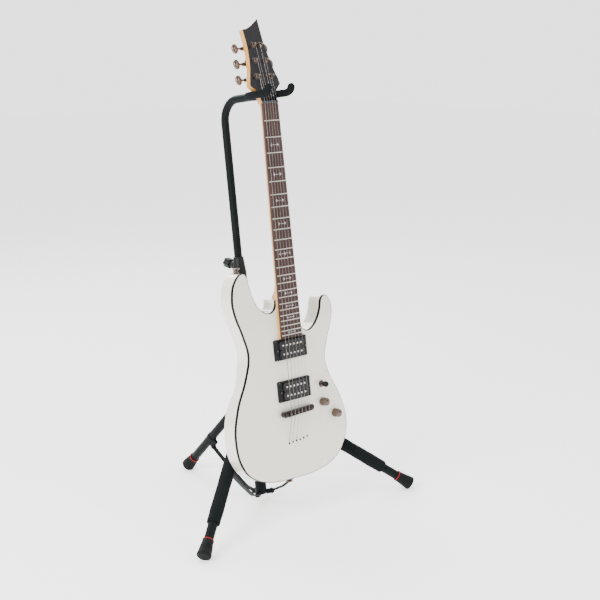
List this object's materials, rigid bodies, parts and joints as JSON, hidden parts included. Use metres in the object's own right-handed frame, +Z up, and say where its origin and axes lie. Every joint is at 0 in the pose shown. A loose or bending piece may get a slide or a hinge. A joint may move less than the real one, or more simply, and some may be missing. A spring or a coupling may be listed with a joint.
{
  "type": "guitar on stand",
  "caption": "Electric guitar with a white double-cutaway body hanging by its head in the padded fork of a black folding tripod floor stand.",
  "frame": {"origin": "on the floor, in the middle of the footprint", "axes": "+Z up, -Y the way the guitar faces, +X towards the guitar's treble side"},
  "size_m": [0.622, 0.47, 1.0533],
  "materials": {
    "black_steel": "satin black powder coat",
    "black_plastic": "satin black moulding",
    "foam": "matte black foam sleeve",
    "rubber": "black moulded rubber",
    "white_lacquer": "warm white gloss lacquer over wood",
    "black_binding": "gloss black edge strip",
    "maple": "amber satin maple",
    "rosewood": "dark open-grained rosewood with nickel frets",
    "dark_nickel": "dark bronze-nickel plating",
    "string_steel": "plain and wound steel"
  },
  "bodies": {
    "stand_column": {"lower_column": "black_steel", "base_hub": "black_steel", "height_clamp": "black_plastic"},
    "clamp_screw": {"clamp_knob": "black_plastic"},
    "upper_arm": {"upper_column": "black_steel", "fork": "black_steel", "fork_pad_left": "foam", "fork_pad_right": "foam"},
    "crown": {"leg_crown": "black_plastic"},
    "crown_screw": {"crown_knob": "black_plastic"},
    "leg_rear_group": {"leg_rear": "black_steel", "foot_rear": "rubber"},
    "strut_rear_bar": {"strut_rear": "black_steel"},
    "leg_left_group": {"leg_left": "black_steel", "foot_left": "rubber", "foam_left": "foam"},
    "strut_left_bar": {"strut_left": "black_steel"},
    "leg_right_group": {"leg_right": "black_steel", "foot_right": "rubber", "foam_right": "foam"},
    "strut_right_bar": {"strut_right": "black_steel"},
    "guitar": {"body_binding": "black_binding", "bridge": "dark_nickel", "bridge_post_bass": "dark_nickel", "bridge_post_treble": "dark_nickel", "control_cover": "black_plastic", "fingerboard": "rosewood", "guitar_body": "white_lacquer", "neck": "maple", "nut": "black_plastic", "output_jack": "dark_nickel", "pickup_bridge": "black_plastic", "pickup_neck": "black_plastic", "pickup_ring_bridge": "black_plastic", "pickup_ring_neck": "black_plastic", "strap_button_horn": "dark_nickel", "strap_button_tail": "dark_nickel", "string_1": "string_steel", "string_2": "string_steel", "string_3": "string_steel", "string_4": "string_steel", "string_5": "string_steel", "string_6": "string_steel", "switch_bush": "dark_nickel", "truss_rod_cover": "black_plastic"},
    "tuner_button_1_group": {"tuner_button_1": "dark_nickel"},
    "tuner_post_1_group": {"tuner_post_1": "dark_nickel"},
    "tuner_button_2_group": {"tuner_button_2": "dark_nickel"},
    "tuner_post_2_group": {"tuner_post_2": "dark_nickel"},
    "tuner_button_3_group": {"tuner_button_3": "dark_nickel"},
    "tuner_post_3_group": {"tuner_post_3": "dark_nickel"},
    "tuner_button_4_group": {"tuner_button_4": "dark_nickel"},
    "tuner_post_4_group": {"tuner_post_4": "dark_nickel"},
    "tuner_button_5_group": {"tuner_button_5": "dark_nickel"},
    "tuner_post_5_group": {"tuner_post_5": "dark_nickel"},
    "tuner_button_6_group": {"tuner_button_6": "dark_nickel"},
    "tuner_post_6_group": {"tuner_post_6": "dark_nickel"},
    "volume_control": {"volume_knob": "dark_nickel"},
    "tone_control": {"tone_knob": "dark_nickel"},
    "pickup_switch": {"switch_lever": "black_plastic"}
  },
  "joints": [
    {"name": "height_slide", "type": "slide", "parent": "stand_column", "child": "upper_arm", "axis": [0, 0.1357, 0.9907], "range_m": [0, 0.1]},
    {"name": "guitar_lift", "type": "slide", "parent": "upper_arm", "child": "guitar", "axis": [0, -0.6046, 0.7965], "range_m": [0, 0.25]},
    {"name": "clamp_knob_turn", "type": "hinge", "parent": "stand_column", "child": "clamp_screw", "pos_m": [0, 0.02292, 0.52146], "axis": [0, 0.9921, 0.1253], "continuous": true},
    {"name": "crown_slide", "type": "slide", "parent": "stand_column", "child": "crown", "axis": [0, 0.1357, 0.9907], "range_m": [0, 0.1335]},
    {"name": "crown_knob_turn", "type": "hinge", "parent": "crown", "child": "crown_screw", "pos_m": [0, -0.01535, 0.24207], "axis": [-0.866, 0.4954, -0.0679], "continuous": true},
    {"name": "leg_rear_fold", "type": "hinge", "parent": "crown", "child": "leg_rear_group", "pos_m": [0, 0.00691, 0.22773], "axis": [-1, 0, 0], "range_deg": [0, 46.7]},
    {"name": "strut_rear_fold", "type": "hinge", "parent": "leg_rear_group", "child": "strut_rear_bar", "pos_m": [0, 0.12427, 0.08163], "axis": [1, 0, 0], "range_deg": [0, 104.5]},
    {"name": "leg_left_fold", "type": "hinge", "parent": "crown", "child": "leg_left_group", "pos_m": [-0.02079, -0.02876, 0.23262], "axis": [0.5, -0.858, 0.1175], "range_deg": [0, 46.7]},
    {"name": "strut_left_fold", "type": "hinge", "parent": "leg_left_group", "child": "strut_left_bar", "pos_m": [-0.13865, -0.11366, 0.11422], "axis": [-0.5, 0.858, -0.1175], "range_deg": [0, 104.5]},
    {"name": "leg_right_fold", "type": "hinge", "parent": "crown", "child": "leg_right_group", "pos_m": [0.02079, -0.02876, 0.23262], "axis": [0.5, 0.858, -0.1175], "range_deg": [0, 46.7]},
    {"name": "strut_right_fold", "type": "hinge", "parent": "leg_right_group", "child": "strut_right_bar", "pos_m": [0.13865, -0.11366, 0.11422], "axis": [-0.5, -0.858, 0.1175], "range_deg": [0, 104.5]},
    {"name": "tuner_button_1_turn", "type": "hinge", "parent": "guitar", "child": "tuner_button_1_group", "pos_m": [-0.0501, -0.04227, 0.92876], "axis": [-1, 0, 0], "continuous": true},
    {"name": "tuner_post_1_turn", "type": "hinge", "parent": "guitar", "child": "tuner_post_1_group", "pos_m": [-0.0196, -0.06338, 0.93657], "axis": [0, -0.9379, 0.3469], "continuous": true},
    {"name": "tuner_button_2_turn", "type": "hinge", "parent": "guitar", "child": "tuner_button_2_group", "pos_m": [-0.0455, -0.03048, 0.96065], "axis": [-1, 0, 0], "continuous": true},
    {"name": "tuner_post_2_turn", "type": "hinge", "parent": "guitar", "child": "tuner_post_2_group", "pos_m": [-0.015, -0.05158, 0.96846], "axis": [0, -0.9379, 0.3469], "continuous": true},
    {"name": "tuner_button_3_turn", "type": "hinge", "parent": "guitar", "child": "tuner_button_3_group", "pos_m": [-0.0403, -0.01886, 0.99207], "axis": [-1, 0, 0], "continuous": true},
    {"name": "tuner_post_3_turn", "type": "hinge", "parent": "guitar", "child": "tuner_post_3_group", "pos_m": [-0.0098, -0.03996, 0.99988], "axis": [0, -0.9379, 0.3469], "continuous": true},
    {"name": "tuner_button_4_turn", "type": "hinge", "parent": "guitar", "child": "tuner_button_4_group", "pos_m": [0.0501, -0.04227, 0.92876], "axis": [1, 0, 0], "continuous": true},
    {"name": "tuner_post_4_turn", "type": "hinge", "parent": "guitar", "child": "tuner_post_4_group", "pos_m": [0.0196, -0.06338, 0.93657], "axis": [0, -0.9379, 0.3469], "continuous": true},
    {"name": "tuner_button_5_turn", "type": "hinge", "parent": "guitar", "child": "tuner_button_5_group", "pos_m": [0.0455, -0.03048, 0.96065], "axis": [1, 0, 0], "continuous": true},
    {"name": "tuner_post_5_turn", "type": "hinge", "parent": "guitar", "child": "tuner_post_5_group", "pos_m": [0.015, -0.05158, 0.96846], "axis": [0, -0.9379, 0.3469], "continuous": true},
    {"name": "tuner_button_6_turn", "type": "hinge", "parent": "guitar", "child": "tuner_button_6_group", "pos_m": [0.0403, -0.01886, 0.99207], "axis": [1, 0, 0], "continuous": true},
    {"name": "tuner_post_6_turn", "type": "hinge", "parent": "guitar", "child": "tuner_post_6_group", "pos_m": [0.0098, -0.03996, 0.99988], "axis": [0, -0.9379, 0.3469], "continuous": true},
    {"name": "volume_turn", "type": "hinge", "parent": "guitar", "child": "volume_control", "pos_m": [0.079, -0.16093, 0.23961], "axis": [0, -0.9907, 0.1357], "range_deg": [0, 270]},
    {"name": "tone_turn", "type": "hinge", "parent": "guitar", "child": "tone_control", "pos_m": [0.112, -0.16521, 0.2084], "axis": [0, -0.9907, 0.1357], "range_deg": [0, 270]},
    {"name": "switch_throw", "type": "hinge", "parent": "guitar", "child": "pickup_switch", "pos_m": [0.0805, -0.15564, 0.27825], "axis": [1, 0, 0], "range_deg": [-13, 13]}
  ],
  "couplings": [
    {"joint": "leg_rear_fold", "follows": "crown_slide", "rad_per_m": 6.105},
    {"joint": "strut_rear_fold", "follows": "crown_slide", "rad_per_m": 13.65},
    {"joint": "leg_left_fold", "follows": "crown_slide", "rad_per_m": 6.105},
    {"joint": "strut_left_fold", "follows": "crown_slide", "rad_per_m": 13.65},
    {"joint": "leg_right_fold", "follows": "crown_slide", "rad_per_m": 6.105},
    {"joint": "strut_right_fold", "follows": "crown_slide", "rad_per_m": 13.65},
    {"joint": "tuner_post_1_turn", "follows": "tuner_button_1_turn", "ratio": 0.0667},
    {"joint": "tuner_post_2_turn", "follows": "tuner_button_2_turn", "ratio": 0.0667},
    {"joint": "tuner_post_3_turn", "follows": "tuner_button_3_turn", "ratio": 0.0667},
    {"joint": "tuner_post_4_turn", "follows": "tuner_button_4_turn", "ratio": 0.0667},
    {"joint": "tuner_post_5_turn", "follows": "tuner_button_5_turn", "ratio": 0.0667},
    {"joint": "tuner_post_6_turn", "follows": "tuner_button_6_turn", "ratio": 0.0667}
  ]
}
